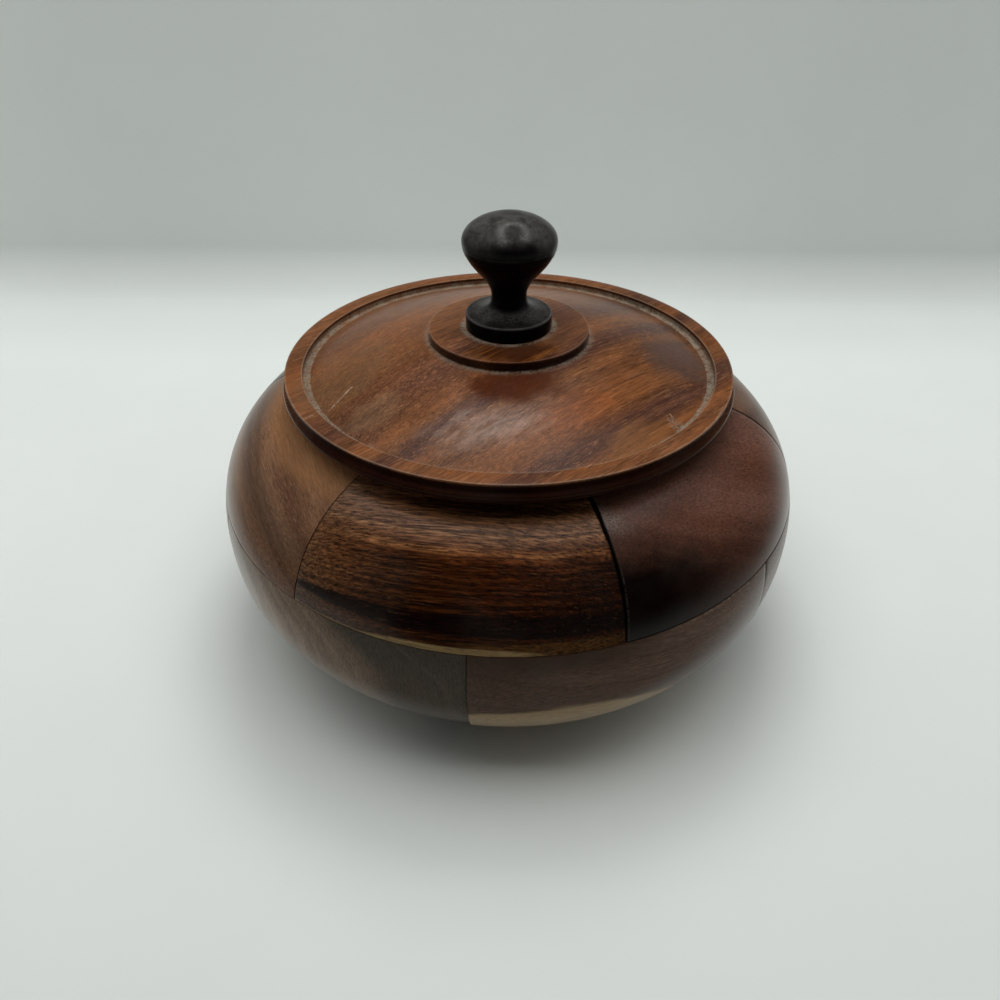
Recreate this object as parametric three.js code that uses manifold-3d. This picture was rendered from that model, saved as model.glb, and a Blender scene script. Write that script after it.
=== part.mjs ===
// Lidded wooden bowl: two courses of six glued blocks turned to a squat round belly, a turned
// disc let into the bottom, a domed lid that drops into the mouth, and a dark turned knob.
// Millimetres, +Z up. The origin is the centre of the foot, on the surface that the bowl stands on.
// Azimuths are in degrees from the front (-Y), positive towards +X.
import * as THREE from 'three';
import { mergeVertices } from 'three/addons/utils/BufferGeometryUtils.js';
import Module from 'manifold-3d';

const wasm = await Module();
wasm.setup();

// Bowl body
const bellyRadius = 110; // widest circle of the outside
const wall = 9; // thickness of the turned wall
const footHeight = 3; // how far the bottom disc stands below the blocks
const lowerRise = 43; // underside of the blocks up to the widest circle
const upperRise = 46.5; // widest circle up to the level crown round the mouth
const courseRise = 15; // widest circle up to the joint between the two courses
const crownInset = 2; // level strip where the wall meets the mouth and the bottom disc
const upperFullness = 2.3; // superellipse exponent of the shoulder
const lowerFullness = 2.15; // superellipse exponent of the underside
const glueLine = 0.3; // gap between glued pieces

// Azimuths of the joints between the blocks of each course, in degrees, as they were laid by eye
const upperJointAngles = [-37.9, 19.2, 80.3, 140.2, 200.6, 261.4];
const lowerJointAngles = [-6, 52.8, 113.8, 174.1, 234.4, 293.9];
const proudBlock = 0; // the lower block that stands out from its neighbours
const proudBy = 1;
const openJoint = 1; // the upper joint that has opened into a crack
const crackTop = 1.8; // its width at the shoulder
const crackBottom = 0.4; // its width at the joint between the courses
const crackBow = 0.3; // how far its faces bow sideways half way up

// Mouth
const landWidth = 9; // level ring round the mouth that carries the lid
const landRise = 0.5; // the ring above the crown
const edgeRound = 0.8; // broken edges at the mouth and the foot
const softEdge = 0.4; // broken edges of the lid and the knob

// Bottom disc
const discRadius = 57.7;
const footWidth = 11; // standing ring under the disc
const footRecess = 1.5; // hollow inside the standing ring

// Lid
const lidRadius = 81.6; // the bead, its widest circle
const coverWidth = 19.6; // how far the lid reaches past the edge of the mouth
const seatClearance = 0.3; // lid above the ring that carries it
const lidEdge = 9.4; // seat up to the flat rim
const beadHeight = 4.8; // seat up to the bead
const rimInset = 0.9; // upper arris inside the bead
const coveDepth = 0.7; // hollow between bead and upper arris
const undercut = 7.6; // seat face inside the bead
const rimWidth = 6.4;
const grooveWidth = 2.4;
const grooveDepth = 2.6;
const domeRise = 11.2; // floor of the groove up to the foot of the boss
const bossRadius = 28.7;
const bossHeight = 3.2;
const spigotClearance = 0.8; // spigot inside the mouth
const spigotDepth = 6;
const spigotWall = 6.5;
const lidWall = 8.5; // wood over the hollow, at the spigot
const tenonFloor = 2.9; // wood left under the knob's tenon

// Knob
const knobFootRadius = 15.3;
const knobFootHeight = 5.2;
const neckRadius = 6.2;
const neckRise = 6.4; // top of the foot up to the narrowest place
const coneRise = 14.6; // narrowest place up to the arris under the head
const arrisRadius = 15.5;
const headRadius = 16.2;
const headSkirt = 4.2; // arris up to the widest circle of the head
const headDome = 8.8; // widest circle up to the top
const tenonRadius = 6;
const tenonLength = 9;

// Shape of the knob's waist, as shares of the heights and widths beside them
const flareHug = 0.15; // how low the flare keeps to the top of the foot
const flareSpread = 1.1; // where it turns up, against the neck
const neckBelow = 0.55; // straight part of the neck under its narrowest place
const neckAbove = 0.38; // straight part of the neck over it
const coneSpread = 0.7; // how far out the cone is before it runs up to the arris
const coneLip = 0.4; // height of that last run

// Facets
const ringSteps = 60;
const knobSteps = 30;
const outsideSteps = 9; // along each quarter of the bowl's outside
const insideSteps = 7; // along each quarter of its inside
const bandSteps = 3; // between the widest circle and the joint of the courses
const edgeSteps = 4; // along each curve of the lid's edge and hollow
const domeSteps = 6;
const waistSteps = 6;
const skirtSteps = 3;
const headSteps = 7;
const fullTurn = 360;
const sawOverlap = 8; // degrees that a wedge reaches past its joints before the saw cuts

// Heights and radii that follow
const bellyHeight = footHeight + lowerRise;
const crownHeight = bellyHeight + upperRise;
const landHeight = crownHeight + landRise;
const courseHeight = bellyHeight + courseRise;
const floorHeight = footHeight + wall;
const mouthRadius = lidRadius - coverWidth;
const discBore = discRadius + glueLine;
const crownRadius = mouthRadius - crownInset;
const heelRadius = discBore + crownInset;
const seatHeight = landHeight + seatClearance;
const rimHeight = seatHeight + lidEdge;
const grooveFloor = rimHeight - grooveDepth;
const bossFoot = grooveFloor + domeRise;
const bossTop = bossFoot + bossHeight;
const sawReach = bellyRadius * 1.5; // saw cuts run from the axis to well outside the wall
const sawTop = landHeight * 2;

const degrees = THREE.MathUtils.degToRad;
const point = (r, z) => new THREE.Vector2(r, z);

// One quarter of a turned outline: a superellipse about the circle (centreRadius, bellyHeight).
function quarter(centreRadius, rise, inset, fullness) {
  const side = Math.sign(rise);
  const width = bellyRadius - centreRadius - inset;
  const height = Math.abs(rise) - inset;
  const at = (angle) => point(
    centreRadius + width * Math.cos(angle) ** (2 / fullness),
    bellyHeight + side * height * Math.sin(angle) ** (2 / fullness),
  );
  return {
    angleAtHeight: (z) => Math.asin((Math.abs(z - bellyHeight) / height) ** (fullness / 2)),
    angleAtRadius: (r) => Math.acos(((r - centreRadius) / width) ** (fullness / 2)),
    sweep(from, to, steps) {
      const points = [];
      for (let i = 0; i <= steps; i += 1) {
        points.push(at(from + ((to - from) * i) / steps));
      }
      return points;
    },
  };
}

// Section of the upper course, anticlockwise from its lower outer corner.
function upperSection() {
  const base = courseHeight + glueLine / 2;
  const outside = quarter(crownRadius, upperRise, 0, upperFullness);
  const inside = quarter(crownRadius, upperRise, wall, upperFullness);
  const landEdge = mouthRadius + landWidth;
  return [
    ...outside.sweep(outside.angleAtHeight(base), outside.angleAtRadius(landEdge), outsideSteps),
    point(landEdge - edgeRound, landHeight),
    point(mouthRadius + edgeRound, landHeight),
    point(mouthRadius, landHeight - edgeRound),
    ...inside.sweep(inside.angleAtRadius(mouthRadius), inside.angleAtHeight(base), insideSteps),
  ];
}

// Section of the lower course. A proud block keeps its inside and moves its outside out.
function lowerSection(proud) {
  const top = courseHeight - glueLine / 2;
  const above = quarter(crownRadius, upperRise, -proud, upperFullness);
  const below = quarter(heelRadius, -lowerRise, -proud, lowerFullness);
  const insideAbove = quarter(crownRadius, upperRise, wall, upperFullness);
  const insideBelow = quarter(heelRadius, -lowerRise, wall, lowerFullness);
  return [
    point(discBore, footHeight - proud),
    ...below.sweep(Math.PI / 2, 0, outsideSteps),
    ...above.sweep(0, above.angleAtHeight(top), bandSteps).slice(1),
    ...insideAbove.sweep(insideAbove.angleAtHeight(top), 0, bandSteps),
    ...insideBelow.sweep(0, Math.PI / 2, insideSteps).slice(1),
    point(discBore, floorHeight),
  ];
}

function discSection() {
  return [
    point(0, footRecess),
    point(discRadius - footWidth - footRecess, footRecess),
    point(discRadius - footWidth, 0),
    point(discRadius - edgeRound, 0),
    point(discRadius, edgeRound),
    point(discRadius, floorHeight),
    point(0, floorHeight),
  ];
}

// Top of the lid between boss and groove: a shallow dome about the axis.
function domeHeight(r) {
  const grooveInner = lidRadius - rimInset - rimWidth - grooveWidth;
  const share = (r ** 2 - bossRadius ** 2) / (grooveInner ** 2 - bossRadius ** 2);
  return bossFoot - domeRise * share;
}

function lidSection() {
  const spigotRadius = mouthRadius - spigotClearance;
  const hollowRadius = spigotRadius - spigotWall;
  const spigotEnd = seatHeight - spigotDepth;
  const rimRadius = lidRadius - rimInset;
  const grooveOuter = rimRadius - rimWidth;
  const grooveInner = grooveOuter - grooveWidth;
  const beadLevel = seatHeight + beadHeight;
  const coveMiddle = (beadLevel + rimHeight) / 2;
  const tenonBore = tenonRadius + glueLine;
  const boreEnd = bossTop - tenonLength - glueLine;
  const ceiling = boreEnd - tenonFloor;
  const hollow = new THREE.QuadraticBezierCurve(
    point(bossRadius, ceiling),
    point((bossRadius + hollowRadius) / 2, ceiling),
    point(hollowRadius, domeHeight(hollowRadius) - lidWall),
  );
  const bead = new THREE.QuadraticBezierCurve(
    point(lidRadius - undercut, seatHeight),
    point(lidRadius - softEdge, seatHeight + beadHeight / 4),
    point(lidRadius, beadLevel),
  );
  const cove = new THREE.QuadraticBezierCurve(
    point(lidRadius, beadLevel),
    point(rimRadius - coveDepth * 2, coveMiddle),
    point(rimRadius, rimHeight - softEdge),
  );
  const dome = [];
  for (let i = 0; i <= domeSteps; i += 1) {
    const r = THREE.MathUtils.lerp(grooveInner, bossRadius, i / domeSteps);
    dome.push(point(r, domeHeight(r)));
  }
  return [
    point(0, ceiling),
    ...hollow.getPoints(edgeSteps),
    point(hollowRadius, spigotEnd + edgeRound),
    point(hollowRadius + edgeRound, spigotEnd),
    point(spigotRadius - edgeRound, spigotEnd),
    point(spigotRadius, spigotEnd + edgeRound),
    point(spigotRadius, seatHeight),
    ...bead.getPoints(edgeSteps),
    ...cove.getPoints(edgeSteps).slice(1),
    point(rimRadius - softEdge, rimHeight),
    point(grooveOuter + softEdge, rimHeight),
    point(grooveOuter, rimHeight - softEdge),
    point(grooveOuter, grooveFloor),
    ...dome,
    point(bossRadius, bossTop - softEdge),
    point(bossRadius - softEdge, bossTop),
    point(tenonBore, bossTop),
    point(tenonBore, boreEnd),
    point(0, boreEnd),
  ];
}

function knobSection() {
  const base = bossTop + glueLine;
  const footTop = base + knobFootHeight;
  const neck = footTop + neckRise;
  const arris = neck + coneRise;
  const head = arris + headSkirt;
  const flare = new THREE.CubicBezierCurve(
    point(knobFootRadius - softEdge, footTop),
    point(neckRadius * flareSpread, footTop + neckRise * flareHug),
    point(neckRadius, neck - neckRise * neckBelow),
    point(neckRadius, neck),
  );
  const cone = new THREE.CubicBezierCurve(
    point(neckRadius, neck),
    point(neckRadius, neck + coneRise * neckAbove),
    point(THREE.MathUtils.lerp(neckRadius, arrisRadius, coneSpread), arris - coneRise * coneLip),
    point(arrisRadius - softEdge, arris),
  );
  const skirt = new THREE.QuadraticBezierCurve(
    point(arrisRadius, arris + softEdge),
    point(headRadius, (arris + head) / 2),
    point(headRadius, head),
  );
  const dome = new THREE.EllipseCurve(0, head, headRadius, headDome, 0, Math.PI / 2);
  return [
    point(0, base - tenonLength),
    point(tenonRadius, base - tenonLength),
    point(tenonRadius, base),
    point(knobFootRadius, base),
    point(knobFootRadius, footTop - softEdge),
    ...flare.getPoints(waistSteps),
    ...cone.getPoints(waistSteps).slice(1),
    ...skirt.getPoints(skirtSteps),
    ...dome.getPoints(headSteps).slice(1, -1),
    point(0, head + headDome),
  ];
}

// Closed skin: shared corners merged, triangles that collapse on the axis dropped.
function closed(geometry) {
  geometry.deleteAttribute('normal');
  geometry.deleteAttribute('uv');
  const merged = mergeVertices(geometry);
  const corners = [];
  for (let i = 0; i < merged.index.count; i += 3) {
    const [a, b, c] = [0, 1, 2].map((k) => merged.index.getX(i + k));
    if (a !== b && b !== c && c !== a) {
      corners.push(a, b, c);
    }
  }
  merged.setIndex(corners);
  return merged;
}

// Turns a section about +Z. A section that is clear of the axis is closed on itself first.
function turned(section, steps) {
  const ring = section[0].x > 0 ? [...section, section[0]] : section;
  const geometry = new THREE.LatheGeometry(ring, steps);
  geometry.rotateX(Math.PI / 2);
  return closed(geometry);
}

function solidOf(geometry) {
  return new wasm.Manifold(new wasm.Mesh({
    numProp: 3,
    vertProperties: new Float32Array(geometry.attributes.position.array),
    triVerts: new Uint32Array(geometry.index.array),
  }));
}

function geometryOf(solid) {
  const mesh = solid.getMesh();
  const geometry = new THREE.BufferGeometry();
  geometry.setAttribute('position', new THREE.BufferAttribute(mesh.vertProperties, mesh.numProp));
  geometry.setIndex(new THREE.BufferAttribute(mesh.triVerts, 1));
  return geometry;
}

const outward = (azimuth) => new THREE.Vector3(
  Math.sin(degrees(azimuth)),
  -Math.cos(degrees(azimuth)),
  0,
);

// Upright wedge from the axis, between two azimuths, that takes in the whole wall.
function wedge(from, to) {
  const shape = new THREE.Shape([new THREE.Vector2(0, 0)]);
  for (const share of [0, 1 / 3, 2 / 3, 1]) {
    const edge = outward(THREE.MathUtils.lerp(from, to, share)).multiplyScalar(sawReach);
    shape.lineTo(edge.x, edge.y);
  }
  const geometry = new THREE.ExtrudeGeometry(shape, { depth: sawTop, bevelEnabled: false });
  geometry.translate(0, 0, -sawTop / 4);
  return solidOf(closed(geometry));
}

// What a block loses at a joint. Side 1 is the block that starts there, side -1 the one that ends
// there. The gap runs from width.bottom to width.top, and its faces bow sideways half way up.
function cheek(azimuth, side, width, bow) {
  const offcut = sawReach * Math.tan(degrees(sawOverlap)) * 2;
  const gap = side > 0 ? 1 : 0;
  const edge = (share, sideways) => (
    -glueLine / 2 + gap * THREE.MathUtils.lerp(width.bottom, width.top, share) + sideways
  );
  const shape = new THREE.Shape([
    new THREE.Vector2(-side * offcut, -landHeight),
    new THREE.Vector2(edge(0, 0), -landHeight),
    new THREE.Vector2(edge(0, 0), courseHeight),
    new THREE.Vector2(edge(0.5, bow), (courseHeight + landHeight) / 2),
    new THREE.Vector2(edge(1, 0), landHeight),
    new THREE.Vector2(edge(1, 0), sawTop),
    new THREE.Vector2(-side * offcut, sawTop),
  ]);
  const geometry = new THREE.ExtrudeGeometry(shape, { depth: sawReach, bevelEnabled: false });
  const up = new THREE.Vector3(0, 0, 1);
  geometry.applyMatrix4(
    new THREE.Matrix4().makeBasis(outward(azimuth + 90), up, outward(azimuth)),
  );
  return solidOf(closed(geometry));
}

const woods = {
  brown: { color: 0x5a3a26, roughness: 0.5 },
  warm: { color: 0x6e4a33, roughness: 0.5 },
  plum: { color: 0x47251c, roughness: 0.42 },
  umber: { color: 0x3d2a20, roughness: 0.55 },
  lid: { color: 0x7a4326, roughness: 0.4 },
  ebony: { color: 0x17130f, roughness: 0.35 },
};

const bowl = new THREE.Group();

function add(name, geometry, wood) {
  geometry.computeVertexNormals();
  const material = new THREE.MeshStandardMaterial({ ...woods[wood], metalness: 0 });
  const mesh = new THREE.Mesh(geometry, material);
  mesh.name = name;
  bowl.add(mesh);
}

// A course is a turned ring, sawn at its joints into one block for each pair of neighbours.
function addCourse(prefix, joints, kinds, ringFor, cutFor) {
  joints.forEach((from, i) => {
    const last = i === joints.length - 1;
    const to = last ? joints[0] + fullTurn : joints[i + 1];
    const block = ringFor(i)
      .intersect(wedge(from - sawOverlap, to + sawOverlap))
      .subtract(cutFor(i, 1))
      .subtract(cutFor(last ? 0 : i + 1, -1));
    add(`${prefix}_${i + 1}`, geometryOf(block), kinds[i]);
  });
}

const closedJoint = { bottom: glueLine, top: glueLine };
const crack = { bottom: crackBottom, top: crackTop };
const upperRing = solidOf(turned(upperSection(), ringSteps));
const lowerRing = solidOf(turned(lowerSection(0), ringSteps));
const proudRing = solidOf(turned(lowerSection(proudBy), ringSteps));

addCourse(
  'upper_segment',
  upperJointAngles,
  ['brown', 'plum', 'warm', 'brown', 'umber', 'warm'],
  () => upperRing,
  (i, side) => (i === openJoint
    ? cheek(upperJointAngles[i], side, crack, crackBow)
    : cheek(upperJointAngles[i], side, closedJoint, 0)),
);
addCourse(
  'lower_segment',
  lowerJointAngles,
  ['plum', 'brown', 'umber', 'warm', 'brown', 'umber'],
  (i) => (i === proudBlock ? proudRing : lowerRing),
  (i, side) => cheek(lowerJointAngles[i], side, closedJoint, 0),
);
add('base_disc', turned(discSection(), ringSteps), 'brown');
add('lid', turned(lidSection(), ringSteps), 'lid');
add('knob', turned(knobSection(), knobSteps), 'ebony');

export default bowl;
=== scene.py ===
from math import acos, asin, atan2, cos, degrees, pi, radians, sin

import bmesh
import bpy
from mathutils import Matrix, Vector, noise
from mathutils.geometry import interpolate_bezier


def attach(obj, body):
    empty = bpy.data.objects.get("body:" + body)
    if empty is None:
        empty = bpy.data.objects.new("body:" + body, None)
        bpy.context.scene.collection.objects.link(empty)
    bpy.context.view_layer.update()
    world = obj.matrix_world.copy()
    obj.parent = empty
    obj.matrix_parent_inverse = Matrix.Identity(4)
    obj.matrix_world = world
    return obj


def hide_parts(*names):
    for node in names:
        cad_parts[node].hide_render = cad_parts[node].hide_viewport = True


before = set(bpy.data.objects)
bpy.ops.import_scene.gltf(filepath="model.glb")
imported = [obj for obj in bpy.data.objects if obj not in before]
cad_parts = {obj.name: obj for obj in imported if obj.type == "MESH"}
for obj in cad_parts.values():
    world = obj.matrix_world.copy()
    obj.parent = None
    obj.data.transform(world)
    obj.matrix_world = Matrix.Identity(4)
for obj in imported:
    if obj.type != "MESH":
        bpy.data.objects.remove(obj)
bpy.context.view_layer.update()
print("frame:", len(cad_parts), "nodes")

mm = 0.001
up = Vector((0, 0, 1))


# shader maths

def socketOf(sockets, key):
    # by number, identifier or name
    if isinstance(key, int):
        return sockets[key]
    for socket in sockets:
        if socket.identifier == key:
            return socket
    return sockets[key]


class Wire:
    # a socket that can stand in a sum
    def __init__(self, finish, socket):
        self.finish = finish
        self.socket = socket

    def math(self, operation, *others):
        values = dict(enumerate((self, *others)))
        return self.finish.node("ShaderNodeMath", {"operation": operation}, values)

    def __add__(self, other):
        return self.math("ADD", other)

    __radd__ = __add__

    def __mul__(self, other):
        return self.math("MULTIPLY", other)

    def __sub__(self, other):
        return self.math("SUBTRACT", other)

    def __rsub__(self, other):
        return self.finish.node("ShaderNodeMath", {"operation": "SUBTRACT"}, {0: other, 1: self})

    def __truediv__(self, other):
        return self.math("DIVIDE", other)

    def __abs__(self):
        return self.math("ABSOLUTE")


class Finish:
    # a material under construction
    def __init__(self, name):
        self.material = bpy.data.materials.new(name)
        self.material.use_nodes = True
        self.nodes = self.material.node_tree.nodes
        self.links = self.material.node_tree.links
        self.nodes.clear()

    def feed(self, socket, value):
        if isinstance(value, Wire):
            self.links.new(value.socket, socket)
        else:
            socket.default_value = value

    def node(self, kind, settings=None, values=None, out=0):
        made = self.nodes.new(kind)
        for key, value in (settings or {}).items():
            setattr(made, key, value)
        for key, value in (values or {}).items():
            self.feed(socketOf(made.inputs, key), value)
        return Wire(self, socketOf(made.outputs, out)) if made.outputs else None

    def vectors(self, operation, values, out=0):
        return self.node("ShaderNodeVectorMath", {"operation": operation}, values, out)

    def place(self, rotation=(0, 0, 0)):
        # object coordinates seen from a turned frame, in millimetres
        return self.node("ShaderNodeMapping", {"vector_type": "TEXTURE"}, {
            "Vector": self.node("ShaderNodeTexCoord", out="Object"),
            "Rotation": [radians(a) for a in rotation],
            "Scale": (mm, mm, mm),
        })

    def split(self, vector):
        return [self.node("ShaderNodeSeparateXYZ", None, {0: vector}, out) for out in range(3)]

    def frontOn(self, azimuth):
        # how far to the right and how high, in millimetres, seen from an azimuth
        x, y, height = self.split(self.place((0, 0, azimuth)))
        return x, height

    def height(self):
        return self.split(self.place())[2]

    def stretch(self, vector, scale, shift=(0, 0, 0)):
        return self.node("ShaderNodeMapping", {"vector_type": "POINT"}, {
            "Vector": vector, "Scale": scale, "Location": shift,
        })

    def noise(self, place, scale, shift=(0, 0, 0), detail=2, roughness=0.5, distortion=0):
        # the scale is one number, or one for each axis
        if not isinstance(scale, tuple):
            scale = (scale, scale, scale)
        return self.node("ShaderNodeTexNoise", None, {
            "Vector": self.stretch(place, scale, shift), "Scale": 1, "Detail": detail,
            "Roughness": roughness, "Distortion": distortion,
        })

    def layers(self, along):
        # growth layers met one after another
        return self.node("ShaderNodeTexNoise", {"noise_dimensions": "1D"}, {
            "W": along, "Scale": 1, "Detail": 4, "Roughness": 0.62,
        })

    def rise(self, value, low, high):
        # 0 below low, 1 above high, smooth between
        return self.node("ShaderNodeMapRange", {"interpolation_type": "SMOOTHSTEP"}, {
            "Value": value, "From Min": low, "From Max": high,
        })

    def fall(self, value, low, high):
        return 1 - self.rise(value, low, high)

    def band(self, value, low, high, soft):
        # 1 between low and high
        return self.rise(value, low - soft, low + soft) * self.fall(value, high - soft, high + soft)

    def ramp(self, value, stops):
        ramped = self.node("ShaderNodeValToRGB", None, {"Fac": value})
        elements = ramped.socket.node.color_ramp.elements
        elements[0].position, elements[-1].position = stops[0][0], stops[-1][0]
        for position, colour in stops[1:-1]:
            elements.new(position)
        for element, (position, colour) in zip(elements, stops):
            element.color = (*colour, 1)
        return ramped

    def blot(self, plan, centre, size, angle):
        # soft oval on the plan, 1 in the middle
        around = self.node("ShaderNodeMapping", {"vector_type": "TEXTURE"}, {
            "Vector": plan, "Location": (*centre, 0), "Rotation": (0, 0, radians(angle)), "Scale": (*size, 1),
        })
        far = self.vectors("LENGTH", {0: around}, "Value")
        wavy = self.noise(plan, 0.12, detail=3) - 0.5
        return self.fall(far + wavy * 0.9, 0.45, 1.1)

    def scratch(self, plan, first, last, width):
        # a line on the plan, worn thin at its ends
        run = Vector((*last, 0)) - Vector((*first, 0))
        offset = self.vectors("SUBTRACT", {0: plan, 1: (*first, 0)})
        share = self.vectors("DOT_PRODUCT", {0: offset, 1: run / run.length_squared}, "Value")
        share = share.math("MAXIMUM", 0).math("MINIMUM", 1)
        nearest = self.vectors("SCALE", {0: run, "Scale": share})
        gap = self.vectors("DISTANCE", {0: offset, 1: nearest}, "Value")
        return self.fall(gap, width * 0.3, width)

    def mix(self, factor, a, b, blend="MIX"):
        def whole(colour):
            return (*colour, 1) if isinstance(colour, tuple) else colour
        return self.node("ShaderNodeMix", {"data_type": "RGBA", "blend_type": blend}, {
            "Factor_Float": factor, "A_Color": whole(a), "B_Color": whole(b),
        }, "Result_Color")

    def shade(self, colour, factor, low, high):
        # brightness of a colour from low to high as factor goes from 0 to 1
        return self.vectors("SCALE", {0: colour, "Scale": factor * (high - low) + low})

    def vary(self, colour, factor, contrast):
        # the same brightness on average, more uneven with more contrast
        return self.shade(colour, factor, 1 - contrast / 2, 1 + contrast / 2)

    def wax(self, strength, sheen):
        # a thin coat that shows most where the surface turns away
        facing = self.node("ShaderNodeLayerWeight", None, {"Blend": 0.5}, "Facing")
        weight = self.rise(facing, 0.5, 0.9) * strength + sheen
        return {"Coat Weight": weight, "Coat Roughness": 0.32, "Coat IOR": 1.5}

    def done(self, colour, roughness, relief, depth, **constants):
        # all gloss comes from the wax, so the bare surface has hardly any
        bump = self.node("ShaderNodeBump", None, {
            "Strength": 1.0, "Distance": depth * mm, "Height": relief,
        })
        values = {"Base Color": colour, "Roughness": roughness, "Normal": bump, "IOR": 1.04}
        values.update(constants)
        surface = self.node("ShaderNodeBsdfPrincipled", None, values)
        self.node("ShaderNodeOutputMaterial", None, {"Surface": surface})
        return self.material


# solids

def azimuthTurn(azimuth):
    return Matrix.Rotation(radians(azimuth), 4, "Z")


def outward(azimuth):
    return azimuthTurn(azimuth) @ Vector((0, -1, 0))


def only(geometry, kind):
    return [g for g in geometry if isinstance(g, kind)]


def spin(section, steps, start=0, sweep=360, closed=False):
    # turns a section of (radius, height) pairs, in millimetres, about +Z
    bm = bmesh.new()
    turn = azimuthTurn(start)
    corners = [bm.verts.new(turn @ Vector((0, -r * mm, z * mm))) for r, z in section]
    edges = [bm.edges.new(pair) for pair in zip(corners, corners[1:])]
    if closed:
        edges.append(bm.edges.new((corners[-1], corners[0])))
    bmesh.ops.spin(
        bm, geom=corners + edges, cent=(0, 0, 0), axis=(0, 0, 1),
        angle=radians(sweep), steps=steps, use_merge=sweep == 360,
    )
    bmesh.ops.remove_doubles(bm, verts=bm.verts[:], dist=1e-6)
    return bm


def soften(bm, width, segments=3, sharper=40, chosen=lambda edge: True):
    # rounds the edges that turn by more than a number of degrees
    bmesh.ops.recalc_face_normals(bm, faces=bm.faces[:])
    sharp = [
        e for e in bm.edges
        if len(e.link_faces) == 2 and e.calc_face_angle(0) > radians(sharper) and chosen(e)
    ]
    bmesh.ops.bevel(
        bm, geom=sharp, offset=width * mm, offset_type="OFFSET", segments=segments,
        profile=0.5, affect="EDGES", material=-1, clamp_overlap=True,
    )


def makeObject(name, bm, material):
    bmesh.ops.recalc_face_normals(bm, faces=bm.faces[:])
    mesh = bpy.data.meshes.new(name)
    bm.to_mesh(mesh)
    bm.free()
    mesh.shade_smooth()
    mesh.materials.append(material)
    made = bpy.data.objects.new(name, mesh)
    bpy.context.scene.collection.objects.link(made)
    return made


def finishPiece(name, bm, material, body, node):
    bmesh.ops.remove_doubles(bm, verts=bm.verts[:], dist=1e-7)
    piece = makeObject(name, bm, material)
    piece.data.set_sharp_from_angle(angle=radians(38))
    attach(piece, body)
    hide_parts(node)


def curve(first, pullFirst, pullLast, last, steps):
    # a smooth run of a section between two points
    flat = [Vector((*p, 0)) for p in (first, pullFirst, pullLast, last)]
    return [(p.x, p.y) for p in interpolate_bezier(*flat, steps + 1)]


def bend(first, pull, last, steps):
    # the same with one pull
    pulls = [[(a + 2 * b) / 3 for a, b in zip(end, pull)] for end in (first, last)]
    return curve(first, *pulls, last, steps)


# bowl

bowl = {
    "bellyRadius": 110, "bellyHeight": 46, "wall": 9,
    "lowerRise": 43, "upperRise": 46.5, "lowerFullness": 2.15, "upperFullness": 2.3,
    "centre": 60,  # middle of the outline's quarter circles
    "courseHeight": 61, "mouthRadius": 62, "landWidth": 9, "landHeight": 93,
    "discBore": 58, "floorHeight": 12, "underside": 3,
    "upperJoints": [-37.9, 19.2, 80.3, 140.2, 200.6, 261.4],
    "lowerJoints": [-6, 52.8, 113.8, 174.1, 234.4, 293.9],
    "gap": 0.08,  # width of a closed joint
    "edge": 0.14,  # rounding of the blocks' edges
    "proud": 1,  # how far one lower block stands out at its left foot
    "proudFoot": (8, 30), "proudTop": (44, 60),  # heights over which that grows and fades
    "proudRight": (5, 50),  # degrees over which it fades
    "crackTop": 1.1, "crackBottom": 0.36, "crackWander": 0.35, "crackBow": 0.3,
    "steps": 44,
}


class Quarter:
    # a quarter of the wall's outline; angles go from 0 at the belly to pi / 2 at its top or foot
    def __init__(self, half, inset):
        self.width = bowl["bellyRadius"] - bowl["centre"] - inset
        self.height = bowl[half + "Rise"] - inset
        self.fullness = bowl[half + "Fullness"]
        self.way = 1 if half == "upper" else -1

    def sweep(self, first, last, steps):
        points = []
        for i in range(steps + 1):
            a = first + (last - first) * i / steps
            out = max(cos(a), 0) ** (2 / self.fullness)
            along = max(sin(a), 0) ** (2 / self.fullness)
            r = bowl["centre"] + self.width * out
            points.append((r, bowl["bellyHeight"] + self.way * self.height * along))
        return points

    def atHeight(self, z):
        return asin((abs(z - bowl["bellyHeight"]) / self.height) ** (self.fullness / 2))

    def atRadius(self, r):
        return acos(((r - bowl["centre"]) / self.width) ** (self.fullness / 2))


def upperSection():
    base = bowl["courseHeight"] + bowl["gap"] / 2
    landEdge = bowl["mouthRadius"] + bowl["landWidth"]
    outside, inside = Quarter("upper", 0), Quarter("upper", bowl["wall"])
    return [
        *outside.sweep(outside.atHeight(base), outside.atRadius(landEdge), steps=56),
        (landEdge, bowl["landHeight"]),
        (bowl["mouthRadius"], bowl["landHeight"]),
        *inside.sweep(inside.atRadius(bowl["mouthRadius"]), inside.atHeight(base), steps=26),
    ]


def lowerSection():
    top = bowl["courseHeight"] - bowl["gap"] / 2
    outsideBelow, outsideAbove = Quarter("lower", 0), Quarter("upper", 0)
    insideAbove, insideBelow = Quarter("upper", bowl["wall"]), Quarter("lower", bowl["wall"])
    return [
        (bowl["discBore"], bowl["underside"]),
        *outsideBelow.sweep(pi / 2, 0, steps=44),
        *outsideAbove.sweep(0, outsideAbove.atHeight(top), steps=12)[1:],
        *insideAbove.sweep(insideAbove.atHeight(top), 0, steps=8),
        *insideBelow.sweep(0, pi / 2, steps=24)[1:],
        (bowl["discBore"], bowl["floorHeight"]),
    ]


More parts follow.
